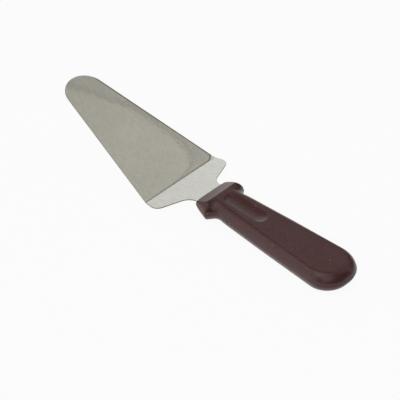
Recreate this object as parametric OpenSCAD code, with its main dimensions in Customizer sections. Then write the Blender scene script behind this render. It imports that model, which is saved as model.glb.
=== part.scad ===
// Cake server: one bent stainless blade whose tang is moulded into a one-piece plastic handle.
// The server lies on the handle's flat underside. +X runs from tip to butt, +Z is up.
// All lengths are millimetres and all angles are degrees.

/* [Blade] */
// Length of the flat blade from the heel crease to the tip
blade_length = 98.2; // [80:0.2:130]
// Width across the blade at the heel crease
blade_width = 59.2; // [45:0.2:80]
// Radius of the rounded tip
tip_radius = 13.6; // [8:0.2:20]
// Thickness of the stamped sheet
sheet_thick = 0.7; // [0.6:0.1:1.5]
// Rise of the blade towards the tip, measured from the table
blade_pitch = 15.7; // [10:0.1:20]

/* [Heel and neck] */
// Rise of the heel ramp from the crease up to the handle
ramp_pitch = 9; // [5:0.5:14]
// Length of the heel ramp from the crease to the bend inside the collar
ramp_length = 26.2; // [24:0.2:40]
// Depth of the bend between neck and tang inside the collar
bend_depth = 1; // [0.5:0.1:2]
// Inside radius of the two bends
bend_radius = 2.5; // [1.5:0.1:5]
// Distance from the crease to the corner of the shoulder
shoulder_reach = 10; // [8:0.5:13]
// Rounding of the shoulder corner
shoulder_radius = 5.8; // [2:0.2:6]
// Slant of the shoulder's rear edge away from square
shoulder_slant = 22; // [10:1:30]
// Width of the neck where it enters the collar
neck_width = 20.8; // [18:0.2:22.4]
// Hollow rounding between shoulder and neck
neck_radius = 8; // [4:0.5:9]

/* [Tang] */
// Width of the tang inside the handle
tang_width = 13; // [9:0.5:14]
// Length of the tang behind the bend in the collar
tang_length = 70; // [50:1:85]
// Depth of the full-width neck inside the collar
tang_neck = 2.5; // [1:0.1:4]
// Rounding of the tang's corners
tang_radius = 2.5; // [1:0.1:4]
// Diameter of the holes that the plastic fills
key_hole = 6; // [4:0.2:8]
// Distance from the bend to the first hole
key_start = 26; // [15:1:30]
// Distance between the holes
key_spacing = 28; // [20:1:45]
// Number of holes in the tang
key_count = 2; // [1:1:3]

/* [Grip] */
// Length of the handle from collar front to butt
handle_length = 110.4; // [100:0.2:130]
// Thickness of the handle between its two flat faces
handle_thick = 13.5; // [12:0.1:17]
// Width of the grip just behind the collar, at the parting plane
grip_width = 22; // [19:0.2:26]
// Width that the tapered sides would reach at the end of the butt
butt_width = 34; // [28:0.2:40]
// Plan radius of the butt's corners
butt_radius = 14.6; // [10:0.1:17]
// Inset of each flat face from the grip's sides at the butt
side_inset = 3.7; // [2:0.1:6]
// Inset of each flat face from the grip's sides behind the collar
collar_inset = 4.6; // [2:0.1:6]
// Inset of each flat face from the end of the butt
butt_inset = 5.9; // [3:0.1:9]
// Plan radius of the flat faces at the butt
face_radius = 11.5; // [6:0.1:13]
// Roundness of the sides, where one turns fully into the flat faces
crown_share = 0.89; // [0.5:0.01:0.95]

/* [Collar] */
// Width across the collar's wings before their tips are rounded
collar_width = 33.8; // [30:0.2:36]
// Width of the collar's front face
front_width = 25.2; // [23.4:0.2:28]
// Width of the wings at the flat faces
wing_face_width = 24; // [20:0.2:26]
// Width of the front at the flat faces
front_face_width = 18.4; // [16:0.2:22]
// Length of the sloping nose from the front face to the flat faces
nose_length = 9.1; // [6:0.1:10]
// Drop of the nose from each flat face to the front face
nose_drop = 5; // [2:0.1:6]
// Rounding of the collar's front corners
front_radius = 1.6; // [1:0.1:4]
// Distance of the wing tips behind the front face at the parting plane
wing_reach = 12; // [10:0.1:13]
// Distance of the wing tips behind the front face at the flat faces
wing_face_reach = 9.5; // [9:0.1:12]
// Rounding of the wing tips at the parting plane
wing_radius = 1.5; // [0.5:0.1:2]
// Rounding of the wing tips at the flat faces
wing_face_radius = 0.7; // [0.3:0.1:1]
// Length of the scoop behind each wing at the parting plane
scoop_length = 4; // [2:0.1:6]
// Length of the scoop behind each wing at the upper flat face
scoop_face_length = 0.9; // [0.5:0.1:2]
// Length of the scoop behind each wing at the lower flat face
scoop_base_length = 4.4; // [2:0.1:6]
// Hollow rounding of the scoop at the parting plane
scoop_radius = 6; // [3:0.1:7]
// Hollow rounding of the scoop at the upper flat face
scoop_face_radius = 2.2; // [1:0.1:3.4]
// Hollow rounding of the scoop at the lower flat face
scoop_base_radius = 4; // [2:0.1:5]

/* [Thumb recesses] */
// Distance of the recess behind the collar's front face
recess_start = 12.8; // [12:0.2:18]
// Length of the recess along the grip
recess_length = 32.6; // [20:0.2:50]
// Width of the recess
recess_width = 9.8; // [8:0.2:11]
// Depth of the recess
recess_depth = 1; // [0.8:0.1:2.5]

/* [Fineness] */
// Steps around each small corner
corner_steps = 6; // [4:1:12]
// Steps around the scoops, the butt and the tip
sweep_steps = 26; // [12:1:40]
// Layers of the handle between its two flat faces
layer_steps = 24; // [12:2:36]
// Steps around each hole of the tang
hole_steps = 48; // [24:4:96]
// Steps around the cutter of the recesses
recess_steps = 96; // [48:8:160]

/* [Hidden] */

// Overrun of each cutting shape past the face that it cuts
overrun = handle_thick / 10;
// Half of the handle's thickness, which is the height of the parting plane and of the tang
mid_height = handle_thick / 2;
// Share of half the thickness at which the layers end, just past the flat faces
layer_end_share = 1.04;
// Heel crease on the middle of the sheet
crease_x = bend_depth - ramp_length * cos(ramp_pitch);
crease_z = mid_height - ramp_length * sin(ramp_pitch);
// Far end of the blade, and the shift that puts the origin below the middle of the whole server
tip_x = crease_x - blade_length * cos(blade_pitch) - sheet_thick / 2 * sin(blade_pitch);
centre_shift = -(tip_x + handle_length) / 2;
// Half-angle between the blade's sides and its middle line
tip_centre = blade_length - tip_radius;
taper_angle = atan2(blade_width / 2, tip_centre) - asin(tip_radius / norm([tip_centre, blade_width / 2]));
// Radius of the cutter that makes the recess
recess_radius = (pow(recess_width / 2, 2) + pow(recess_depth, 2)) / (2 * recess_depth);

// Value between a and b
function mix(a, b, share) = a + (b - a) * share;

// Vector of length one
function unit(v) = v / norm(v);

// Arc of radius r that rounds the corner p between a and b
function corner_arc(a, p, b, r, steps) =
    let(
        u = unit(a - p),
        w = unit(b - p),
        half = acos(u * w) / 2,
        centre = p + unit(u + w) * r / sin(half),
        from = p + u * r / tan(half) - centre,
        to = p + w * r / tan(half) - centre,
        turn = atan2(from.x * to.y - from.y * to.x, from * to)
    )
    [
        for (i = [0 : steps])
            let(t = turn * i / steps)
            centre + [from.x * cos(t) - from.y * sin(t), from.x * sin(t) + from.y * cos(t)]
    ];

// Path through the points with each corner rounded by its radius, where zero keeps the point
function rounded_path(points, radii, steps) =
    [
        for (i = [0 : len(points) - 1])
            each radii[i] == 0
                ? [points[i]]
                : corner_arc(points[i - 1], points[i], points[i + 1], radii[i], steps[i])
    ];

// Closed outline from one half, mirrored about the middle line
function mirrored(half) = concat(half, [for (i = [len(half) - 1 : -1 : 0]) [half[i].x, -half[i].y]]);

// Left-hand normal of a path at point i
function path_normal(path, i) =
    let(
        before = path[max(i - 1, 0)],
        after = path[min(i + 1, len(path) - 1)],
        along = unit(after - before)
    )
    [-along.y, along.x];

// Middle line of the sheet, seen from the side, from the tip to the end of the tang
function sheet_line() =
    let(crease = [crease_x, crease_z])
    rounded_path(
        [
            crease + (blade_length + overrun) * [-cos(blade_pitch), sin(blade_pitch)],
            crease,
            [bend_depth, mid_height],
            [bend_depth + tang_length + overrun, mid_height]
        ],
        [0, bend_radius + sheet_thick / 2, bend_radius + sheet_thick / 2, 0],
        [0, corner_steps, corner_steps, 0]
    );

// The bent sheet before its outline is cut
module sheet_band() {
    line = sheet_line();
    last = len(line) - 1;
    upper = [for (i = [0 : last]) line[i] + path_normal(line, i) * sheet_thick / 2];
    lower = [for (i = [last : -1 : 0]) line[i] - path_normal(line, i) * sheet_thick / 2];
    rotate([90, 0, 0])
        linear_extrude(height = blade_width * 2, center = true)
            polygon(concat(upper, lower));
}

// Prism through the sheet with an outline that starts at x, z and runs along the pitch
module outline_prism(x, z, turn) {
    translate([x, 0, z])
        rotate([0, turn, 0])
            linear_extrude(height = handle_thick, center = true)
                children();
}

// Flat outline of the blade, running from the crease to the tip along -X
module blade_outline() {
    apex = tip_centre + tip_radius / sin(taper_angle);
    polygon(rounded_path(
        [
            [overrun, blade_width / 2],
            [0, blade_width / 2],
            [-apex, 0],
            [0, -blade_width / 2],
            [overrun, -blade_width / 2]
        ],
        [0, 0, tip_radius, 0, 0],
        [0, 0, sweep_steps, 0, 0]
    ));
}

// Flat outline of the heel ramp with its shoulders and neck
module ramp_outline() {
    flare = tan(taper_angle);
    shoulder = [shoulder_reach, blade_width / 2 + shoulder_reach * flare];
    neck = [shoulder.x + (shoulder.y - neck_width / 2) * tan(shoulder_slant), neck_width / 2];
    half = rounded_path(
        [
            [-overrun, blade_width / 2],
            [0, blade_width / 2],
            shoulder,
            neck,
            [ramp_length + overrun, neck_width / 2]
        ],
        [0, 0, shoulder_radius, neck_radius, 0],
        [0, 0, corner_steps, corner_steps, 0]
    );
    polygon(mirrored(half));
}

// Flat outline of the tang with its holes
module tang_outline() {
    difference() {
        polygon(mirrored(rounded_path(
            [
                [-overrun, neck_width / 2],
                [tang_neck, neck_width / 2],
                [tang_neck + (neck_width - tang_width) / 2, tang_width / 2],
                [tang_length, tang_width / 2],
                [tang_length, 0]
            ],
            [0, tang_radius / 2, tang_radius, tang_radius, 0],
            [0, corner_steps, corner_steps, corner_steps, 0]
        )));
        for (i = [0 : key_count - 1])
            translate([key_start + i * key_spacing, 0])
                circle(d = key_hole, $fn = hole_steps);
    }
}

// The whole sheet: blade, heel ramp, neck and tang from one stamping
module sheet() {
    intersection() {
        sheet_band();
        union() {
            outline_prism(crease_x, crease_z, blade_pitch) blade_outline();
            outline_prism(crease_x, crease_z, -ramp_pitch) ramp_outline();
            outline_prism(bend_depth, mid_height, 0) tang_outline();
        }
    }
}

// Drop of the crown at a layer, as a share of its radius
function crown_drop_share(layer) = 1 - sqrt(1 - pow(layer * crown_share, 2));

// Share of the full inset that the sides have reached at a layer
function inset_share(layer) = crown_drop_share(layer) / crown_drop_share(1);

// Half of the handle's outline at a layer, from the collar's front to the butt
function half_plan(layer) =
    let(
        inset = inset_share(layer),
        end_length = layer > 0 ? scoop_face_length : scoop_base_length,
        end_radius = layer > 0 ? scoop_face_radius : scoop_base_radius,
        length = handle_length - butt_inset * inset,
        front = [0, mix(front_width, front_face_width, inset) / 2],
        wing = [mix(wing_reach, wing_face_reach, inset), mix(collar_width, wing_face_width, inset) / 2],
        scoop = [
            wing.x + mix(scoop_length, end_length, inset),
            grip_width / 2 - collar_inset * inset
        ],
        butt = [length, butt_width / 2 - side_inset * inset]
    )
    rounded_path(
        [[0, 0], front, wing, scoop, butt, [length, 0]],
        [
            0,
            front_radius,
            mix(wing_radius, wing_face_radius, inset),
            mix(scoop_radius, end_radius, inset),
            mix(butt_radius, face_radius, inset),
            0
        ],
        [0, corner_steps, corner_steps, sweep_steps / 2, sweep_steps, 0]
    );

// Closed ring of a layer, with the points on the middle line kept once
function ring(layer) =
    let(half = half_plan(layer), last = len(half) - 1)
    [
        for (p = half) [p.x, p.y, mid_height * (1 + layer)],
        for (i = [last - 1 : -1 : 1]) [half[i].x, -half[i].y, mid_height * (1 + layer)]
    ];

// Moulded outer form of the handle before its flat faces are cut
module handle_form() {
    rings = [for (j = [0 : layer_steps]) ring(-layer_end_share * cos(180 * j / layer_steps))];
    count = len(rings[0]);
    sides = [
        for (j = [0 : layer_steps - 1], i = [0 : count - 1])
            let(a = j * count, b = a + count, k = (i + 1) % count)
            each [[a + i, a + k, b + k], [a + i, b + k, b + i]]
    ];
    polyhedron(
        points = [for (r = rings) each r],
        faces = concat(
            [[for (i = [0 : count - 1]) i]],
            sides,
            [[for (i = [count - 1 : -1 : 0]) layer_steps * count + i]]
        )
    );
}

// Side view of the handle: flat faces and the sloping nose
module handle_side() {
    polygon([
        [0, nose_drop],
        [nose_length, 0],
        [handle_length + overrun, 0],
        [handle_length + overrun, handle_thick],
        [nose_length, handle_thick],
        [0, handle_thick - nose_drop]
    ]);
}

// Cutter of a thumb recess with round ends, lying along the grip
module recess_cutter() {
    end = recess_length / 2 - recess_width / 2;
    arc = [for (i = [0 : sweep_steps]) let(t = 90 * i / sweep_steps) recess_radius * [cos(t), sin(t)]];
    translate([recess_start + recess_length / 2, 0, 0])
        rotate([0, 90, 0])
            rotate_extrude($fn = recess_steps)
                polygon(concat(
                    [[0, -end - recess_radius]],
                    [for (i = [sweep_steps - 1 : -1 : 0]) [arc[i].x, -end - arc[i].y]],
                    [for (i = [0 : sweep_steps - 1]) [arc[i].x, end + arc[i].y]],
                    [[0, end + recess_radius]]
                ));
}

module blade() {
    color([0.72, 0.72, 0.69])
        translate([centre_shift, 0, 0])
            sheet();
}

module handle() {
    color([0.28, 0.19, 0.18])
        translate([centre_shift, 0, 0])
            difference() {
                intersection() {
                    handle_form();
                    rotate([90, 0, 0])
                        linear_extrude(height = collar_width + butt_width, center = true)
                            handle_side();
                }
                for (face = [0, 1])
                    translate([0, 0, face * handle_thick + (face * 2 - 1) * (recess_radius - recess_depth)])
                        recess_cutter();
                sheet();
            }
}

blade();
handle();
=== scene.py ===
"""Cake server dressed for its studio picture.

The blade is cut as a flat blank, bent at the heel and rolled along its edges, as the press does it.
The handle is the moulded solid with soft edges, slightly fuller sides, a raised parting land and the slot
that holds the tang.
"""

import itertools
import logging
import math
from dataclasses import dataclass
from enum import Enum, IntEnum
from typing import Any, Callable, Optional

import bmesh
import bpy
from mathutils import Matrix, Vector


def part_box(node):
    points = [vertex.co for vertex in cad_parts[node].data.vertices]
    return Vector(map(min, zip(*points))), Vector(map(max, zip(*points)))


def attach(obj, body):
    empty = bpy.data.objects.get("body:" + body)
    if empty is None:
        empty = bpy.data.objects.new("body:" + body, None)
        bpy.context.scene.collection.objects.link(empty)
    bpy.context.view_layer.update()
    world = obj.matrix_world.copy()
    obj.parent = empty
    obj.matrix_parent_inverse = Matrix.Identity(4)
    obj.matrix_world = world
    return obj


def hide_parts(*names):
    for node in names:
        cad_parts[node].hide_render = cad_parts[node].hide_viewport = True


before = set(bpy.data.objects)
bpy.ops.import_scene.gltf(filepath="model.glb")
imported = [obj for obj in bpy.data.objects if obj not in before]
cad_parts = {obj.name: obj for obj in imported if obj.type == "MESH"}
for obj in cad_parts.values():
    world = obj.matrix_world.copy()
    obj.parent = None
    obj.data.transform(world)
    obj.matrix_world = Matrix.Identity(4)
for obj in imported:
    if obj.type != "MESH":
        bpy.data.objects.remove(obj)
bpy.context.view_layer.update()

MM = 0.001
TINY = 0.005 * MM
# The curve of sRGB: straight up to its knee, then a power
BYTE = 255
SRGB_KNEE = 0.04045
SRGB_SLOPE = 12.92
SRGB_OFFSET = 0.055
SRGB_POWER = 2.4
# Noise runs from zero to one about this value
NOISE_MIDDLE = 0.5
LOG = logging.getLogger("cake_server")

Tree = bpy.types.NodeTree
Socket = bpy.types.NodeSocket


class Part(Enum):
    """The two physical pieces, by the name of their node."""

    BLADE = "blade"
    HANDLE = "handle"


class Slot(Enum):
    """The finishes that a scene can repaint."""

    STEEL = "blade_steel"
    PLASTIC = "handle_plastic"


class Pick(Enum):
    """What a selection in edit mode takes."""

    VERTS = "VERT"
    EDGES = "EDGE"
    FACES = "FACE"


class MixSocket(IntEnum):
    """Places of the colour sockets of a Mix node: three inputs and the output."""

    SHARE = 0
    FIRST = 6
    SECOND = 7
    RESULT = 2


def linear(hex_colour: str) -> tuple[float, float, float, float]:
    """Turns an sRGB hex colour to a linear one.

    Args:
        hex_colour: six hex digits after a hash.

    Returns:
        Linear red, green and blue with an alpha of one.
    """
    parts = [byte / BYTE for byte in bytes.fromhex(hex_colour[1:])]
    red, green, blue = [
        part / SRGB_SLOPE if part <= SRGB_KNEE else ((part + SRGB_OFFSET) / (1 + SRGB_OFFSET)) ** SRGB_POWER
        for part in parts
    ]
    return red, green, blue, 1.0


def add_node(
    tree: Tree,
    kind: str,
    settings: Optional[dict[str, Any]] = None,
    values: Optional[dict[Any, Any]] = None,
    links: Optional[dict[Any, Socket]] = None,
) -> bpy.types.Node:
    """Adds a node with its settings and links.

    Args:
        tree: node tree that takes the node.
        kind: type of the node.
        settings: properties of the node.
        values: input names or numbers with their constants.
        links: input names or numbers with the outputs that feed them.

    Returns:
        The new node.
    """
    node = tree.nodes.new(kind)
    for name, value in (settings or {}).items():
        setattr(node, name, value)
    for name, value in (values or {}).items():
        node.inputs[name].default_value = value
    for name, output in (links or {}).items():
        tree.links.new(output, node.inputs[name])
    return node


def maths(tree: Tree, operation: str, *terms: Any) -> Socket:
    """Adds a Math node.

    Args:
        tree: node tree that takes the node.
        operation: what the node reckons.
        *terms: numbers that are set and sockets that are linked, in the order of the inputs.

    Returns:
        The result.
    """
    values = {place: term for place, term in enumerate(terms) if isinstance(term, float)}
    links = {place: term for place, term in enumerate(terms) if place not in values}
    return add_node(tree, "ShaderNodeMath", {"operation": operation}, values, links).outputs["Value"]


def dot(tree: Tree, place: Socket, direction: Vector) -> Socket:
    """Measures how far a point lies along a direction.

    Args:
        tree: node tree that takes the node.
        place: the point.
        direction: direction of length one.

    Returns:
        The distance from the origin.
    """
    settings = {"operation": "DOT_PRODUCT"}
    return add_node(tree, "ShaderNodeVectorMath", settings, {1: direction}, {0: place}).outputs["Value"]


def ease(
    tree: Tree,
    value: Socket,
    start: float,
    end: float,
    low: float = 0.0,
    high: float = 1.0,
    smooth: bool = False,
) -> Socket:
    """Carries a value from one range to another and holds it at the ends.

    Args:
        tree: node tree that takes the node.
        value: what is carried over.
        start: value that gives the low end.
        end: value that gives the high end.
        low: result at the start.
        high: result at the end.
        smooth: whether the result starts and ends gently.

    Returns:
        The result.
    """
    return add_node(
        tree,
        "ShaderNodeMapRange",
        settings={"interpolation_type": "SMOOTHSTEP" if smooth else "LINEAR"},
        values={"From Min": start, "From Max": end, "To Min": low, "To Max": high},
        links={"Value": value},
    ).outputs["Result"]


def blend(tree: Tree, share: Socket, first: Any, second: Any) -> Socket:
    """Mixes two colours.

    Args:
        tree: node tree that takes the node.
        share: strength of the second colour.
        first: hex colour that is set or socket that is linked.
        second: hex colour that is set or socket that is linked.

    Returns:
        The mixed colour.
    """
    pair = {MixSocket.FIRST: first, MixSocket.SECOND: second}
    values = {place: linear(colour) for place, colour in pair.items() if isinstance(colour, str)}
    links = {place: colour for place, colour in pair.items() if place not in values}
    links[MixSocket.SHARE] = share
    return add_node(tree, "ShaderNodeMix", {"data_type": "RGBA"}, values, links).outputs[MixSocket.RESULT]


def colour_ramp(tree: Tree, share: Socket, stops: list[tuple[float, tuple[float, ...]]]) -> Socket:
    """Runs through a row of colours.

    Args:
        tree: node tree that takes the node.
        share: where in the row, from zero to one.
        stops: places in the row with their linear colours.

    Returns:
        The colour.
    """
    node = add_node(tree, "ShaderNodeValToRGB", links={"Fac": share})
    marks = node.color_ramp.elements
    while len(marks) < len(stops):
        marks.new(1.0)
    for mark, (place, colour) in zip(marks, stops):
        mark.position = place
        mark.color = colour
    return node.outputs["Color"]


def relief(tree: Tree, height: Socket, depth: float) -> Socket:
    """Raises a fine pattern from the surface.

    Args:
        tree: node tree of the material.
        height: the pattern, from zero to one.
        depth: its full height in metres.

    Returns:
        The surface's normal.
    """
    values = {"Strength": 1.0, "Distance": depth}
    return add_node(tree, "ShaderNodeBump", None, values, {"Height": height}).outputs["Normal"]


def blank_material(name: str) -> tuple[bpy.types.Material, Tree]:
    """Makes a material with an empty node tree.

    Args:
        name: name of the real material and how its surface was made.

    Returns:
        The material and its node tree.
    """
    material = bpy.data.materials.new(name)
    material.use_nodes = True
    material.node_tree.nodes.clear()
    return material, material.node_tree


def coat(tree: Tree, values: dict[str, float], links: dict[str, Socket]) -> None:
    """Closes a material's node tree with a Principled shader.

    Args:
        tree: node tree of the material.
        values: inputs of the shader that are set.
        links: inputs of the shader that are linked.
    """
    shader = add_node(tree, "ShaderNodeBsdfPrincipled", None, values, links)
    add_node(tree, "ShaderNodeOutputMaterial", links={"Surface": shader.outputs["BSDF"]})


def work_on(piece: bpy.types.Object) -> None:
    """Makes a piece the only selected and the active object.

    Args:
        piece: the object that the next operators work on.
    """
    bpy.ops.object.select_all(action="DESELECT")
    piece.select_set(True)
    bpy.context.view_layer.objects.active = piece


def pick(piece: bpy.types.Object, kind: Pick, test: Callable[[Any], bool]) -> int:
    """Selects by a test in edit mode what the next operator acts on.

    Args:
        piece: object in edit mode.
        kind: whether vertices, edges or faces are tested.
        test: says of one vertex, edge or face whether it is taken.

    Returns:
        The number of elements taken.
    """
    bpy.ops.mesh.select_mode(type=kind.value)
    bpy.ops.mesh.select_all(action="DESELECT")
    mesh = bmesh.from_edit_mesh(piece.data)
    mesh.normal_update()
    elements = {Pick.VERTS: mesh.verts, Pick.EDGES: mesh.edges, Pick.FACES: mesh.faces}[kind]
    taken = [element for element in elements if test(element)]
    for element in taken:
        element.select_set(True)
    mesh.select_flush_mode()
    bmesh.update_edit_mesh(piece.data)
    return len(taken)


def finish_with(piece: bpy.types.Object, kind: str, **settings: Any) -> None:
    """Adds a modifier to the active piece and applies it.

    Args:
        piece: the active object, in object mode.
        kind: type of the modifier.
        **settings: properties of the modifier.
    """
    modifier = piece.modifiers.new(kind.lower(), kind)
    for name, value in settings.items():
        setattr(modifier, name, value)
    bpy.ops.object.modifier_apply(modifier=modifier.name)


def near(point: Vector, x: float, z: float) -> bool:
    """Says whether a point lies on the line across the server at x and z."""
    return abs(point.x - x) < TINY and abs(point.z - z) < TINY


@dataclass(frozen=True)
class Noise:
    """A noise pattern by the width of its marks and, where they are drawn out, their length along X.

    Detail is the number of finer layers on top of the first, and roughness is how strong they are.
    """

    width: float
    detail: float
    roughness: float
    length: Optional[float] = None

    def make(self, tree: Tree, place: Socket) -> Socket:
        """Adds the pattern to a material.

        Args:
            tree: node tree of the material.
            place: the point in Object coordinates.

        Returns:
            The noise, from zero to one.
        """
        scale = 1 / self.width
        if self.length:
            stretch = {"Scale": (1 / self.length, scale, scale)}
            place = add_node(tree, "ShaderNodeMapping", None, stretch, {"Vector": place}).outputs["Vector"]
            scale = 1.0
        values = {"Scale": scale, "Detail": self.detail, "Roughness": self.roughness}
        return add_node(tree, "ShaderNodeTexNoise", None, values, {"Vector": place}).outputs["Fac"]


@dataclass(frozen=True)
class SatinStainless:
    """Stainless steel sheet, cold rolled and satin finished along its length.

    The eye gets a soft grey sheen with faint lengthwise streaks, a painted shade line along the heel crease
    and the far edge, a painted highlight on the heel's corner outside that line, for its turn with the ramp
    that the mesh lacks, and a slightly darker painted shade band with a streaked border that follows that
    edge round the tip.
    """

    name: str = "stainless_steel_satin_rolled"
    light: str = "#CFCDC4"
    dark: str = "#C6C4BA"
    # Painted shade: a dark line along the heel crease and the far edge
    painted_shade: str = "#86847B"
    # Painted shade: a darker band along the far edge and round the tip
    painted_band: str = "#B1B0A9"
    # Painted highlight: the bright reflection of the heel corner that turns with the ramp, which the mesh
    # does not bend
    painted_highlight: str = "#F2F0E8"
    roughness: float = 0.3
    roughness_spread: float = 0.04
    # Polishing lines are about 0.1 mm apart, drawn 0.9 mm apart so that the picture can show them
    streak: Noise = Noise(width=0.9 * MM, detail=3.0, roughness=0.6, length=140 * MM)
    # Faint cloudy patches that rolling leaves, about 24 mm wide
    cloud: Noise = Noise(width=24 * MM, detail=2.0, roughness=0.5)
    cloud_share: float = 0.25
    # Noise between these values runs from the dark tone to the light one
    tone_range: tuple[float, float] = (0.3, 0.7)
    grain_depth: float = 0.002 * MM
    # Width and shape of the painted shade line along the crease and the far edge
    line_width: float = 0.55 * MM
    # The middle share of the line has its full strength
    line_core_share: float = 0.25
    line_corner: float = 4.2 * MM
    # The line is this much narrower at the crease than at the edge
    crease_share: float = 0.6
    # Along the crease it fades to a share of its strength at this distance from the far edge
    line_fade: float = 36 * MM
    line_fade_share: float = 0.45
    # The painted highlight on the heel corner sets in between these shares of the line's width
    painted_highlight_shares: tuple[float, float] = (0.6, 1.1)
    # The painted shade band reaches this far from the edge, further by a product over the distance from the
    # crease
    band_margin: float = 2.3 * MM
    band_product: float = 95 * MM * MM
    band_start: float = 2.0 * MM
    # Behind the tip it widens by a share of the length beyond this distance from the crease
    band_tip: float = 58 * MM
    band_tip_share: float = 0.42
    band_fringe: float = 20 * MM
    band_softness: float = 2.5 * MM
    # Away from its border the zone fades to a share of its strength
    band_fade: float = 7 * MM
    band_fade_share: float = 0.38

    def make(self, crease: Vector, along: Vector, inward: Vector, edge: float) -> bpy.types.Material:
        """Builds the material.

        Args:
            crease: middle of the heel crease.
            along: direction from the crease to the tip.
            inward: direction from the far edge into the blade.
            edge: distance of the far edge from the crease's middle, against that direction.

        Returns:
            The satin steel.
        """
        material, tree = blank_material(self.name)
        place = add_node(tree, "ShaderNodeTexCoord").outputs["Object"]
        streak = self.streak.make(tree, place)
        mottle = maths(tree, "MULTIPLY_ADD", self.cloud.make(tree, place), self.cloud_share, streak)
        low, high = [level + self.cloud_share * NOISE_MIDDLE for level in self.tone_range]
        tone = ease(tree, mottle, low, high, smooth=True)
        from_crease = maths(tree, "ADD", dot(tree, place, along), -along.dot(crease))
        from_edge = maths(tree, "ADD", dot(tree, place, inward), edge - inward.dot(crease))
        outside = self.line_offset(tree, from_crease, from_edge)
        colour = blend(tree, tone, self.dark, self.light)
        # Painted shade band, painted highlight on the heel corner and painted shade line, laid over the
        # steel's colour
        for share, tint in (
            (self.painted_band_zone(tree, from_crease, from_edge, streak), self.painted_band),
            (self.painted_highlight_corner(tree, outside, from_crease), self.painted_highlight),
            (self.painted_shade_line(tree, outside, from_edge), self.painted_shade),
        ):
            colour = blend(tree, share, colour, tint)
        half = self.roughness_spread / 2
        gloss = ease(tree, tone, 0.0, 1.0, self.roughness + half, self.roughness - half)
        grain = relief(tree, streak, self.grain_depth)
        coat(tree, {"Metallic": 1.0}, {"Base Color": colour, "Roughness": gloss, "Normal": grain})
        return material

    def painted_band_zone(self, tree: Tree, from_crease: Socket, from_edge: Socket, streak: Socket) -> Socket:
        """Draws the painted shade: a darker band along the far edge.

        Args:
            tree: node tree of the material.
            from_crease: distance from the crease towards the tip.
            from_edge: distance from the far edge.
            streak: lengthwise streaks that fray the zone's border.

        Returns:
            The strength of the zone, from zero to one.
        """
        ahead = maths(tree, "MAXIMUM", from_crease, 0.0)
        heel = maths(tree, "DIVIDE", self.band_product, maths(tree, "ADD", ahead, self.band_start))
        beyond = maths(tree, "MAXIMUM", maths(tree, "SUBTRACT", ahead, self.band_tip), 0.0)
        tip = maths(tree, "MULTIPLY", beyond, self.band_tip_share)
        fray = maths(tree, "MULTIPLY", maths(tree, "SUBTRACT", streak, NOISE_MIDDLE), self.band_fringe)
        reach = maths(tree, "ADD", maths(tree, "ADD", heel, tip), maths(tree, "ADD", fray, self.band_margin))
        depth = maths(tree, "SUBTRACT", reach, from_edge)
        inside = ease(tree, depth, -self.band_softness / 2, self.band_softness / 2, smooth=True)
        faded = ease(tree, depth, 0.0, self.band_fade, 1.0, self.band_fade_share)
        strength = maths(tree, "MULTIPLY", inside, faded)
        return maths(tree, "MULTIPLY", strength, maths(tree, "GREATER_THAN", from_crease, 0.0))

    def line_offset(self, tree: Tree, from_crease: Socket, from_edge: Socket) -> Socket:
        """Measures from the line that runs along the crease and turns round a corner into the far edge.

        Args:
            tree: node tree of the material.
            from_crease: distance from the crease towards the tip.
            from_edge: distance from the far edge.

        Returns:
            The distance outside the line, negative on the blade's side of it.
        """
        squares = []
        for leg, share in ((from_crease, 1.0), (from_edge, self.crease_share)):
            corner = self.line_corner / share
            side = ease(tree, leg, corner, -corner, high=2 * self.line_corner)
            squares.append(maths(tree, "MULTIPLY", side, side))
        reach = maths(tree, "SQRT", maths(tree, "ADD", *squares))
        return maths(tree, "SUBTRACT", reach, self.line_corner - self.line_width / 2)

    def painted_highlight_corner(self, tree: Tree, outside: Socket, from_crease: Socket) -> Socket:
        """Draws the painted highlight on the small corner of the heel outside the line.

        Args:
            tree: node tree of the material.
            outside: distance outside the line.
            from_crease: distance from the crease towards the tip.

        Returns:
            The strength of the corner, from zero to one.
        """
        start, end = [share * self.line_width for share in self.painted_highlight_shares]
        beyond = ease(tree, outside, start, end)
        return maths(tree, "MULTIPLY", beyond, maths(tree, "GREATER_THAN", from_crease, 0.0))

    def painted_shade_line(self, tree: Tree, outside: Socket, from_edge: Socket) -> Socket:
        """Draws the painted shade line along the heel crease and the far edge.

        Args:
            tree: node tree of the material.
            outside: distance outside the line's middle.
            from_edge: distance from the far edge.

        Returns:
            The strength of the line, from zero to one.
        """
        away = maths(tree, "ABSOLUTE", outside)
        strength = ease(tree, away, self.line_width, self.line_width * self.line_core_share, smooth=True)
        fading = ease(tree, from_edge, 0.0, self.line_fade, 1.0, self.line_fade_share)
        return maths(tree, "MULTIPLY", strength, fading)


@dataclass(frozen=True)
class ShearedStainless:
    """Sheared edge of the stainless sheet, tumbled but not polished.

    The eye gets a dull, darker rim round the bright sheet.
    """

    name: str = "stainless_steel_sheared_edge"
    light: str = "#8F8D84"
    dark: str = "#76746C"
    roughness: float = 0.5
    # Shear marks are about 0.2 mm apart, drawn 0.6 mm apart so that the picture can show them
    marks: Noise = Noise(width=0.6 * MM, detail=2.0, roughness=0.5)

    def make(self) -> bpy.types.Material:
        """Builds the material.

        Returns:
            The sheared edge.
        """
        material, tree = blank_material(self.name)
        place = add_node(tree, "ShaderNodeTexCoord").outputs["Object"]
        colour = blend(tree, self.marks.make(tree, place), self.dark, self.light)
        coat(tree, {"Metallic": 1.0, "Roughness": self.roughness}, {"Base Color": colour})
        return material


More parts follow.
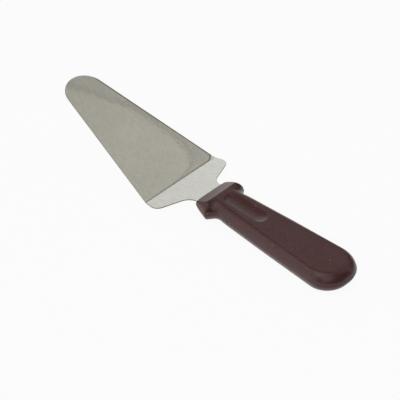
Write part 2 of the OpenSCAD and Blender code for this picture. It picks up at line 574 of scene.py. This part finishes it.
@dataclass(frozen=True)
class MouldedPolypropylene:
    """Dark brown polypropylene, injection moulded in a lightly spark-eroded mould.

    The eye gets a deep brown with a soft broad sheen, a fine grain, faint cloudy flow and a few pale scuffs.
    """

    name: str = "polypropylene_brown_moulded"
    light: str = "#59312E"
    dark: str = "#432221"
    scuff: str = "#94847F"
    ior: float = 1.49
    roughness: float = 0.3
    roughness_spread: float = 0.1
    # Spark-eroded grain is about 0.15 mm, drawn at 1 mm so that the picture can show it
    grain: Noise = Noise(width=1.0 * MM, detail=2.0, roughness=0.6)
    grain_depth: float = 0.045 * MM
    # Flow of the melt along the grip, in clouds of about 7 by 22 mm
    flow: Noise = Noise(width=7 * MM, detail=3.0, roughness=0.55, length=22 * MM)
    flow_share: float = 0.5
    # Noise between these values runs from the dark tone to the light one
    tone_range: tuple[float, float] = (0.3, 0.7)
    # Pale scuffs, one in some cells of this size
    scuff_cell: float = 5 * MM
    scuff_radius: float = 0.3 * MM
    scuff_share: float = 0.55
    # A scuff fades out between these shares of its radius
    scuff_rim_shares: tuple[float, float] = (0.7, 1.5)

    def make(self) -> bpy.types.Material:
        """Builds the material.

        Returns:
            The moulded plastic.
        """
        material, tree = blank_material(self.name)
        place = add_node(tree, "ShaderNodeTexCoord").outputs["Object"]
        flow = self.flow.make(tree, place)
        grain = self.grain.make(tree, place)
        mottle = maths(tree, "MULTIPLY_ADD", flow, self.flow_share, grain)
        low, high = [level + self.flow_share * NOISE_MIDDLE for level in self.tone_range]
        body = blend(tree, ease(tree, mottle, low, high), self.dark, self.light)
        colour = blend(tree, self.scuffs(tree, place), body, self.scuff)
        half = self.roughness_spread / 2
        gloss = ease(tree, flow, 0.0, 1.0, self.roughness - half, self.roughness + half)
        skin = relief(tree, grain, self.grain_depth)
        coat(tree, {"IOR": self.ior}, {"Base Color": colour, "Roughness": gloss, "Normal": skin})
        return material

    def scuffs(self, tree: Tree, place: Socket) -> Socket:
        """Strews the pale scuffs.

        Args:
            tree: node tree of the material.
            place: the point in Object coordinates.

        Returns:
            The strength of the scuffs, from zero to one.
        """
        values = {"Scale": 1 / self.scuff_cell}
        cells = add_node(tree, "ShaderNodeTexVoronoi", None, values, {"Vector": place})
        inner, outer = [share * self.scuff_radius / self.scuff_cell for share in self.scuff_rim_shares]
        spot = ease(tree, cells.outputs["Distance"], outer, inner)
        draw = add_node(tree, "ShaderNodeSeparateColor", links={"Color": cells.outputs["Color"]})
        chosen = maths(tree, "LESS_THAN", draw.outputs["Red"], self.scuff_share)
        return maths(tree, "MULTIPLY", spot, chosen)


@dataclass
class Blade:
    """The stamped sheet: blade, heel ramp, neck and tang in one piece, with its angles in degrees."""

    length: float = 98.2 * MM
    heel_width: float = 59.2 * MM
    tip_radius: float = 13.6 * MM
    thickness: float = 0.7 * MM
    # Slopes of the blade and of the ramp behind its heel
    pitch: float = 15.7
    ramp_pitch: float = 9.0
    ramp_length: float = 26.2 * MM
    # The bend at the neck lies this far inside the collar
    bend_depth: float = 1.0 * MM
    bend_radius: float = 2.5 * MM
    shoulder_reach: float = 10.0 * MM
    shoulder_radius: float = 5.8 * MM
    shoulder_slant: float = 22.0
    neck_width: float = 20.8 * MM
    neck_radius: float = 8.0 * MM
    tang_width: float = 13.0 * MM
    tang_length: float = 70.0 * MM
    tang_neck: float = 2.5 * MM
    tang_radius: float = 2.5 * MM
    key_hole: float = 6.0 * MM
    key_start: float = 26.0 * MM
    key_spacing: float = 28.0 * MM
    # Length of the punch as a share of the sheet's thickness
    punch_share: float = 6.0
    tang_height: float = 6.75 * MM
    # The upper rim is rolled and the lower one only broken
    edge_roll: float = 0.28 * MM
    edge_break: float = 0.1 * MM
    # Steps of the round tip, of the corners, of the bends, of both rims and of the key holes
    tip_steps: int = 28
    corner_steps: int = 14
    bend_steps: int = 8
    roll_steps: int = 4
    break_steps: int = 2
    hole_steps: int = 64
    # The sheet's faces point up or down by more than the first share and its cut rim by less than the second,
    # and what points up or down by less than the third has the sheared finish
    face_rise_share: float = 0.85
    rim_rise_share: float = 0.35
    sheared_rise_share: float = 0.8
    smooth_angle: float = 35.0
    normal_weight: int = 100

    def taper(self) -> float:
        """Works out how the blade's sides run together towards the tip.

        Returns:
            Half-angle in radians between the sides and the middle line.
        """
        centre = self.length - self.tip_radius
        half = self.heel_width / 2
        return math.atan2(half, centre) - math.asin(self.tip_radius / math.hypot(centre, half))

    def corners(self) -> list[tuple[Vector, float]]:
        """Corners of the flat blank behind the tip, on one side of the middle line.

        Returns:
            Each corner, measured from the heel crease, with its rounding.
        """
        half = self.heel_width / 2
        shoulder = Vector((self.shoulder_reach, half + self.shoulder_reach * math.tan(self.taper()), 0))
        slant = math.tan(math.radians(self.shoulder_slant))
        neck = Vector((shoulder.x + (shoulder.y - self.neck_width / 2) * slant, self.neck_width / 2, 0))
        tang = self.ramp_length + self.tang_neck
        step = (self.neck_width - self.tang_width) / 2
        end = self.ramp_length + self.tang_length
        return [
            (Vector((0, half, 0)), 0.0),
            (shoulder, self.shoulder_radius),
            (neck, self.neck_radius),
            (Vector((tang, self.neck_width / 2, 0)), self.tang_radius / 2),
            (Vector((tang + step, self.tang_width / 2, 0)), self.tang_radius),
            (Vector((end, self.tang_width / 2, 0)), self.tang_radius),
            (Vector((end, 0, 0)), 0.0),
        ]

    def draw_half(self) -> bpy.types.Object:
        """Draws one half of the flat blank with sharp corners.

        Returns:
            The half blank with its heel crease at the origin, in object mode.
        """
        bpy.ops.object.select_all(action="DESELECT")
        bpy.ops.mesh.primitive_plane_add(size=self.thickness, location=(-self.length, 0, 0))
        blank = bpy.context.object
        blank.name = blank.data.name = "blade_sheet"
        bpy.ops.object.mode_set(mode="EDIT")
        bpy.ops.mesh.select_all(action="SELECT")
        bpy.ops.mesh.merge(type="CENTER")
        centre = Vector((self.tip_radius - self.length, 0, 0))
        turn = math.pi / 2 - self.taper()
        bpy.ops.mesh.spin(steps=self.tip_steps, angle=turn, center=centre, axis=(0, 0, 1))
        last = centre + self.tip_radius * Vector((-math.sin(self.taper()), math.cos(self.taper()), 0))
        for corner, _ in self.corners():
            bpy.ops.mesh.extrude_vertices_move(TRANSFORM_OT_translate={"value": corner - last})
            last = corner
        bpy.ops.mesh.select_all(action="SELECT")
        bpy.ops.mesh.edge_face_add()
        bpy.ops.object.mode_set(mode="OBJECT")
        bpy.ops.object.transform_apply(location=True, rotation=True, scale=True)
        return blank

    def cut_blank(self) -> bpy.types.Object:
        """Rounds the corners of the half blank and mirrors it.

        Returns:
            The flat blank with its heel crease at the origin, in edit mode.
        """
        blank = self.draw_half()
        bpy.ops.object.mode_set(mode="EDIT")
        points = [corner for corner, _ in self.corners()]
        for before, (corner, radius), after in zip(points, self.corners()[1:], points[2:]):
            if radius:
                half = (before - corner).angle(after - corner) / 2
                pick(blank, Pick.VERTS, lambda v: (v.co - corner).length < TINY)
                offset = radius / math.tan(half)
                bpy.ops.mesh.bevel(offset=offset, segments=self.corner_steps, affect="VERTICES")
        bpy.ops.object.mode_set(mode="OBJECT")
        finish_with(blank, "MIRROR", use_axis=(False, True, False), merge_threshold=TINY)
        bpy.ops.object.mode_set(mode="EDIT")
        pick(blank, Pick.EDGES, lambda e: all(abs(v.co.y) < TINY for v in e.verts) and len(e.link_faces) == 2)
        bpy.ops.mesh.dissolve_edges()
        return blank

    def bend(self, blank: bpy.types.Object) -> None:
        """Bends the blank at the heel crease and at the neck, in edit mode.

        Args:
            blank: the flat blank.
        """
        neck = Vector((self.ramp_length, 0, 0))
        for line in (Vector((0, 0, 0)), neck):
            bpy.ops.mesh.select_all(action="SELECT")
            bpy.ops.mesh.bisect(plane_co=line, plane_no=(1, 0, 0))
        turn = math.radians(self.pitch + self.ramp_pitch)
        fall = math.radians(self.ramp_pitch)
        # Without a window the rotate operator turns against the usual sense
        pick(blank, Pick.VERTS, lambda v: v.co.x < -TINY)
        bpy.ops.transform.rotate(value=-turn, orient_axis="Y", center_override=(0, 0, 0))
        pick(blank, Pick.VERTS, lambda v: v.co.x < self.ramp_length - TINY)
        bpy.ops.transform.rotate(value=fall, orient_axis="Y", center_override=neck)
        crease = (self.ramp_length * (1 - math.cos(fall)), -self.ramp_length * math.sin(fall))
        middle_radius = self.bend_radius + self.thickness / 2
        for (x, z), angle in ((crease, turn), ((self.ramp_length, 0.0), fall)):
            pick(blank, Pick.EDGES, lambda e: all(near(v.co, x, z) for v in e.verts))
            offset = middle_radius * math.tan(angle / 2)
            bpy.ops.mesh.bevel(offset=offset, segments=self.bend_steps, affect="EDGES")

    def thicken(self, blank: bpy.types.Object, front: float) -> None:
        """Gives the sheet its place, its thickness and its key holes.

        Args:
            blank: the bent blank, in edit mode.
            front: X of the collar's front face.
        """
        bpy.ops.mesh.select_all(action="SELECT")
        bpy.ops.transform.translate(value=(front + self.bend_depth - self.ramp_length, 0, self.tang_height))
        bpy.ops.mesh.normals_make_consistent(inside=False)
        bpy.ops.object.mode_set(mode="OBJECT")
        finish_with(blank, "SOLIDIFY", thickness=self.thickness, offset=0.0, use_even_offset=True)
        for x in (self.key_start, self.key_start + self.key_spacing):
            bpy.ops.object.select_all(action="DESELECT")
            bpy.ops.mesh.primitive_cylinder_add(
                vertices=self.hole_steps,
                radius=self.key_hole / 2,
                depth=self.thickness * self.punch_share,
                location=(front + self.bend_depth + x, 0, self.tang_height),
            )
            punch = bpy.context.object
            work_on(blank)
            finish_with(blank, "BOOLEAN", object=punch, operation="DIFFERENCE", solver="EXACT")
            bpy.data.objects.remove(punch)

    def roll_edges(self, sheet: bpy.types.Object, front: float) -> None:
        """Rolls the upper rim of the thick sheet and breaks the lower one, in front of the collar.

        Args:
            sheet: the thick sheet, in object mode.
            front: X of the collar's front face.
        """
        work_on(sheet)
        bpy.ops.object.mode_set(mode="EDIT")
        bpy.ops.mesh.select_all(action="SELECT")
        bpy.ops.mesh.normals_make_consistent(inside=False)
        rims = ((True, self.edge_roll, self.roll_steps), (False, self.edge_break, self.break_steps))
        for upper, width, steps in rims:
            pick(sheet, Pick.EDGES, lambda e: self.is_rim(e, upper) and e.verts[0].co.x < front)
            bpy.ops.mesh.bevel(offset=width, segments=steps, affect="EDGES", clamp_overlap=True)
        bpy.ops.object.mode_set(mode="OBJECT")

    def is_rim(self, edge: bmesh.types.BMEdge, upper: bool) -> bool:
        """Says whether an edge runs round the sheet's upper or lower face.

        Args:
            edge: edge of the thick sheet.
            upper: whether the upper face is meant.

        Returns:
            True for an edge between that face and the cut rim.
        """
        if len(edge.link_faces) != 2:
            return False
        heights = sorted(face.normal.z if upper else -face.normal.z for face in edge.link_faces)
        return heights[1] > self.face_rise_share and abs(heights[0]) < self.rim_rise_share

    def satin(self, front: float, finish: SatinStainless) -> bpy.types.Material:
        """Lays the satin finish out on this blade.

        Args:
            front: X of the collar's front face.
            finish: the satin steel.

        Returns:
            The material of the sheet's faces.
        """
        fall, rise, taper = math.radians(self.ramp_pitch), math.radians(self.pitch), self.taper()
        crease = Vector((
            front + self.bend_depth - self.ramp_length * math.cos(fall),
            0.0,
            self.tang_height - self.ramp_length * math.sin(fall),
        ))
        along = Vector((-math.cos(rise), 0.0, math.sin(rise)))
        inward = -math.sin(taper) * along - math.cos(taper) * Vector((0.0, 1.0, 0.0))
        return finish.make(crease, along, inward, self.heel_width / 2 * math.cos(taper))

    def build(self, front: float, satin: SatinStainless, sheared: ShearedStainless) -> bpy.types.Object:
        """Makes the blade and dresses it.

        Args:
            front: X of the collar's front face.
            satin: finish of the sheet's faces.
            sheared: finish of its cut rim.

        Returns:
            The finished piece.
        """
        sheet = self.cut_blank()
        self.bend(sheet)
        self.thicken(sheet, front)
        self.roll_edges(sheet, front)
        work_on(sheet)
        bpy.ops.object.shade_smooth_by_angle(angle=math.radians(self.smooth_angle))
        finish_with(sheet, "WEIGHTED_NORMAL", weight=self.normal_weight, keep_sharp=True)
        sheet.data.materials.clear()
        sheet.data.materials.append(self.satin(front, satin))
        sheet.data.materials.append(sheared.make())
        for face in sheet.data.polygons:
            face.material_index = 1 if abs(face.normal.z) < self.sheared_rise_share else 0
        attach(sheet, "root")
        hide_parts(Part.BLADE.value)
        return sheet


@dataclass
class Handle:
    """The one-piece moulded handle with its collar, scoops and thumb recesses."""

    parting_height: float = 6.75 * MM
    slot_half_width: float = 10.5 * MM
    slot_half_height: float = 0.6 * MM
    weld: float = TINY / 2
    fineness: float = 0.4 * MM
    # Rounds of smoothing for all edges, each by this share of the way
    softening: int = 3
    smoothing_share: float = 0.5
    # The collar's front corners are rounder than the other edges
    corner_reach: float = 8.0 * MM
    corner_half_width: float = 9.0 * MM
    corner_softening: int = 14
    # From the scoops to the butt the grip's sides are a little fuller where they face outward by this share.
    # They are raised in layers, of which each starts further back and ends further forward than the last
    crown_start: float = 18.0 * MM
    crown_end: float = 92.0 * MM
    crown_share: float = 0.75
    crown_layers: int = 8
    crown_start_step: float = 1.0 * MM
    crown_end_step: float = 5.0 * MM
    crown_rise: float = 0.045 * MM
    crown_fade: float = 4.0 * MM
    # The thumb recesses are steeper at their front end and gentler at their rear than in the solid
    recess_ends: tuple[float, float] = (17.7 * MM, 40.5 * MM)
    recess_half_width: float = 4.9 * MM
    recess_heights: tuple[float, float] = (1.0 * MM, 12.5 * MM)
    recess_pull: float = 2.4 * MM
    # The mould's halves leave a narrow raised land where they meet
    land_half_width: float = 0.28 * MM
    land_flank: float = 0.12 * MM
    land_rise: float = 0.2 * MM
    cut_tolerance: float = TINY / 10
    smooth_angle: float = 50.0

    def copy_solid(self, front: float) -> bpy.types.Object:
        """Copies the moulded solid and closes its slot.

        Args:
            front: X of the collar's front face.

        Returns:
            The closed solid, in object mode.
        """
        grip = bpy.data.objects.new("handle_grip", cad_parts[Part.HANDLE.value].data.copy())
        grip.data.name = grip.name
        bpy.context.scene.collection.objects.link(grip)
        work_on(grip)
        bpy.ops.object.mode_set(mode="EDIT")
        bpy.ops.mesh.select_all(action="SELECT")
        bpy.ops.mesh.remove_doubles(threshold=self.weld)
        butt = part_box(Part.HANDLE.value)[1].x

        def in_slot(face: bmesh.types.BMFace) -> bool:
            """Says whether a face is a wall of the slot.

            Args:
                face: face of the solid.

            Returns:
                True for a wall of the slot or of the keys in it.
            """
            middle = face.calc_center_median()
            inside = front + TINY < middle.x < butt - self.slot_half_width
            high = abs(middle.z - self.parting_height) < self.slot_half_height
            return inside and high and abs(middle.y) < self.slot_half_width

        walls = pick(grip, Pick.FACES, in_slot)
        bpy.ops.mesh.delete(type="FACE")
        bpy.ops.mesh.select_mode(type="EDGE")
        bpy.ops.mesh.select_all(action="DESELECT")
        bpy.ops.mesh.select_non_manifold()
        bpy.ops.mesh.fill()
        bpy.ops.object.mode_set(mode="OBJECT")
        LOG.info("handle: closed the slot of %d faces", walls)
        return grip

    @staticmethod
    def fading(reach: float) -> dict[str, Any]:
        """Settings with which a move fades out along the skin.

        Args:
            reach: distance at which nothing moves any more.

        Returns:
            Settings of a transform operator.
        """
        return {
            "use_proportional_edit": True,
            "use_proportional_connected": True,
            "proportional_edit_falloff": "SMOOTH",
            "proportional_size": reach,
        }

    def round_corners(self, grip: bpy.types.Object, front: float) -> None:
        """Rounds the collar's front corners, in edit mode.

        Args:
            grip: the handle.
            front: X of the collar's front face.
        """
        reach = front + self.corner_reach
        pick(grip, Pick.VERTS, lambda v: v.co.x < reach and abs(v.co.y) > self.corner_half_width)
        bpy.ops.mesh.vertices_smooth(factor=self.smoothing_share, repeat=self.corner_softening)

    def fill_sides(self, grip: bpy.types.Object, front: float) -> None:
        """Makes the grip's sides fuller and keeps its underside flat on the table, in edit mode.

        Args:
            grip: the handle.
            front: X of the collar's front face.
        """
        for layer in range(self.crown_layers):
            start = front + self.crown_start + layer * self.crown_start_step
            end = front + self.crown_end - layer * self.crown_end_step
            pick(grip, Pick.VERTS, lambda v: start < v.co.x < end and abs(v.normal.y) > self.crown_share)
            bpy.ops.transform.shrink_fatten(value=self.crown_rise, **self.fading(self.crown_fade))
        pick(grip, Pick.VERTS, lambda v: v.co.z < 0)
        bpy.ops.transform.resize(value=(1, 1, 0), center_override=(0, 0, 0))

    def shape_recesses(self, grip: bpy.types.Object, front: float) -> None:
        """Pulls the floors of both thumb recesses forward between their rims, in edit mode.

        Args:
            grip: the handle.
            front: X of the collar's front face.
        """
        for x, z in itertools.product(self.recess_ends, self.recess_heights):
            middle = Vector((front + x, 0, z))
            pick(grip, Pick.VERTS, lambda v: (v.co - middle).length < self.fineness)
            bpy.ops.transform.translate(
                value=(-self.recess_pull, 0, 0), **self.fading(self.recess_half_width)
            )

    def raise_land(self, grip: bpy.types.Object) -> None:
        """Raises the land along the parting line, in edit mode.

        Args:
            grip: the handle.
        """
        outer = self.land_half_width + self.land_flank
        for rise in (-outer, -self.land_half_width, self.land_half_width, outer):
            bpy.ops.mesh.select_all(action="SELECT")
            line = (0, 0, self.parting_height + rise)
            bpy.ops.mesh.bisect(plane_co=line, plane_no=(0, 0, 1), threshold=self.cut_tolerance)
        land = self.land_half_width + TINY
        pick(grip, Pick.VERTS, lambda v: abs(v.co.z - self.parting_height) < land)
        bpy.ops.transform.shrink_fatten(value=self.land_rise)

    def build(self, front: float, sheet: bpy.types.Object, plastic: bpy.types.Material) -> bpy.types.Object:
        """Makes the handle, cuts its slot and dresses it.

        Args:
            front: X of the collar's front face.
            sheet: the blade, whose tang fills the slot.
            plastic: finish of the handle.

        Returns:
            The finished piece.
        """
        grip = self.copy_solid(front)
        finish_with(grip, "REMESH", mode="VOXEL", voxel_size=self.fineness)
        finish_with(grip, "SMOOTH", factor=self.smoothing_share, iterations=self.softening)
        bpy.ops.object.mode_set(mode="EDIT")
        self.round_corners(grip, front)
        self.fill_sides(grip, front)
        self.shape_recesses(grip, front)
        self.raise_land(grip)
        bpy.ops.object.mode_set(mode="OBJECT")
        finish_with(grip, "BOOLEAN", object=sheet, operation="DIFFERENCE", solver="MANIFOLD")
        bpy.ops.object.shade_smooth_by_angle(angle=math.radians(self.smooth_angle))
        grip.data.materials.clear()
        grip.data.materials.append(plastic)
        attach(grip, "root")
        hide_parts(Part.HANDLE.value)
        return grip


@dataclass
class Studio:
    """Pale table, soft light from the left and from above, and the camera of the picture."""

    # Bearing of the camera in degrees
    azimuth: float = 44.6199
    elevation: float = 40.936
    roll: float = -0.403
    distance: float = 1308.9 * MM
    # Point that the camera is set to, measured from the table below the collar's front
    target: tuple[float, float, float] = (12.1 * MM, 0.0, 10.0 * MM)
    shift_right: float = 14.6971 * MM
    shift_up: float = 0.8698 * MM
    # A focal length of 5.5 picture widths
    sensor: float = 36.0
    lens: float = 198.0
    clip_start: float = 0.05
    table: str = "#F4F4F2"
    table_size: float = 6.0
    # Share of the table that shows plain white, the rest keeps the server's shadow
    table_white: float = 0.93
    # Light of the room by its bearing to the bright left wall, from straight away from it to straight at it
    wall: tuple[float, float, float] = (-0.85, 0.35, 0.0)
    room: tuple[tuple[float, str], ...] = (
        (0.0, "#3A3938"),
        (0.07, "#4A4948"),
        (0.13, "#8A8987"),
        (0.18, "#8A8987"),
        (0.23, "#343332"),
        (0.36, "#5A5A5C"),
        (0.44, "#D4D6DC"),
        (0.49, "#B0B2B8"),
        (0.54, "#323234"),
        (0.575, "#62626C"),
        (0.625, "#E2E1DB"),
        (0.67, "#CECDC7"),
        (0.735, "#686766"),
        (0.77, "#8E8D8C"),
        (0.83, "#A09F9D"),
        (0.87, "#A6A5A3"),
        (0.9, "#B0AFAD"),
        (0.93, "#EAEEF4"),
        (0.955, "#F2F5FA"),
        (0.985, "#FFFFFF"),
        (1.0, "#FFFFFF"),
    )
    # Strength of that light by depth, from the room's front over a dim strip of ceiling to its dim rear wall
    depths: tuple[tuple[float, float], ...] = (
        (-0.8, 2.5),
        (-0.25, 1.7),
        (-0.1, 0.8),
        (0.3, 0.7),
        (0.45, 1.5),
        (0.82, 1.55),
        (0.92, 0.3),
    )
    lamp_bearing: tuple[float, float, float] = (0.25, -0.4, 0.87)
    lamp_distance: float = 1.2
    lamp_size: float = 1.4
    lamp_power: float = 3.8

    def set_camera(self, front: float) -> None:
        """Sets the camera at the picture's viewing angle.

        Args:
            front: X of the collar's front face.
        """
        a, e, r = [math.radians(angle) for angle in (self.azimuth, self.elevation, self.roll)]
        back = Vector((math.sin(a) * math.cos(e), -math.cos(a) * math.cos(e), math.sin(e)))
        level = Vector((math.cos(a), math.sin(a), 0))
        steep = Vector((-math.sin(a) * math.sin(e), math.cos(a) * math.sin(e), math.cos(e)))
        right = level * math.cos(r) + steep * math.sin(r)
        up = steep * math.cos(r) - level * math.sin(r)
        aim = Vector(self.target) + Vector((front, 0, 0))
        place = aim - right * self.shift_right - up * self.shift_up + back * self.distance
        data = bpy.data.cameras.new("camera")
        data.sensor_width = self.sensor
        data.lens = self.lens
        data.clip_start = self.clip_start
        camera = bpy.data.objects.new("camera", data)
        camera.matrix_world = Matrix.Translation(place) @ Matrix((right, up, back)).transposed().to_4x4()
        bpy.context.scene.collection.objects.link(camera)
        bpy.context.scene.camera = camera

    def paper(self) -> bpy.types.Material:
        """White matt paper that keeps a soft shadow and shows white in the picture and in reflections.

        Returns:
            The table's material.
        """
        material, tree = blank_material("paper_white_matt")
        matt = add_node(tree, "ShaderNodeBsdfDiffuse", values={"Color": linear(self.table)})
        glow = add_node(tree, "ShaderNodeEmission", values={"Strength": 1.0})
        path = add_node(tree, "ShaderNodeLightPath")
        seen = path.outputs["Is Camera Ray"]
        for other in ("Is Glossy Ray", "Is Transmission Ray"):
            seen = maths(tree, "MAXIMUM", seen, path.outputs[other])
        white = maths(tree, "MULTIPLY", seen, self.table_white)
        shaders = {0: white, 1: matt.outputs["BSDF"], 2: glow.outputs["Emission"]}
        mix = add_node(tree, "ShaderNodeMixShader", links=shaders)
        add_node(tree, "ShaderNodeOutputMaterial", links={"Surface": mix.outputs["Shader"]})
        return material

    def lay_floor(self) -> None:
        """Lays the pale table under the server."""
        bpy.ops.object.select_all(action="DESELECT")
        bpy.ops.mesh.primitive_plane_add(size=self.table_size, location=(0, 0, 0))
        floor = bpy.context.object
        floor.name = floor.data.name = "table"
        floor.data.materials.append(self.paper())

    def light_room(self) -> None:
        """Lights the server softly from the bright left wall, by bearing and by depth."""
        world = bpy.data.worlds.new("studio")
        world.use_nodes = True
        bpy.context.scene.world = world
        tree = world.node_tree
        tree.nodes.clear()
        direction = add_node(tree, "ShaderNodeTexCoord").outputs["Object"]
        bearing = ease(tree, dot(tree, direction, Vector(self.wall).normalized()), -1.0, 1.0)
        level = colour_ramp(tree, bearing, [(place, linear(colour)) for place, colour in self.room])
        depth = add_node(tree, "ShaderNodeSeparateXYZ", links={"Vector": direction}).outputs["Y"]
        peak = max(strength for _, strength in self.depths)
        greys = [((1 + place) / 2, (strength / peak,) * 3 + (1.0,)) for place, strength in self.depths]
        power = maths(tree, "MULTIPLY", colour_ramp(tree, ease(tree, depth, -1.0, 1.0), greys), peak)
        back = add_node(tree, "ShaderNodeBackground", links={"Color": level, "Strength": power})
        add_node(tree, "ShaderNodeOutputWorld", links={"Surface": back.outputs["Background"]})

    def hang_lamp(self) -> None:
        """Hangs a broad lamp overhead."""
        data = bpy.data.lights.new("ceiling_lamp", "AREA")
        data.shape = "DISK"
        data.size = self.lamp_size
        data.energy = self.lamp_power
        lamp = bpy.data.objects.new("ceiling_lamp", data)
        lamp.location = Vector(self.lamp_bearing).normalized() * self.lamp_distance
        lamp.rotation_euler = (-lamp.location).to_track_quat("-Z", "Y").to_euler()
        bpy.context.scene.collection.objects.link(lamp)


def main() -> None:
    """Builds the studio and the two pieces in order and reports each piece."""
    logging.basicConfig(level=logging.INFO, format="%(name)s: %(message)s")
    bpy.context.scene.view_settings.view_transform = "Standard"
    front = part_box(Part.HANDLE.value)[0].x
    studio = Studio()
    studio.set_camera(front)
    studio.lay_floor()
    studio.light_room()
    studio.hang_lamp()
    sheet = Blade().build(front, SatinStainless(), ShearedStainless())
    grip = Handle().build(front, sheet, MouldedPolypropylene().make())
    for piece in (sheet, grip):
        size = [round(side / MM, 2) for side in piece.dimensions]
        LOG.info("%s: %d faces, box %s", piece.name, len(piece.data.polygons), size)


if __name__ == "__main__":
    main()
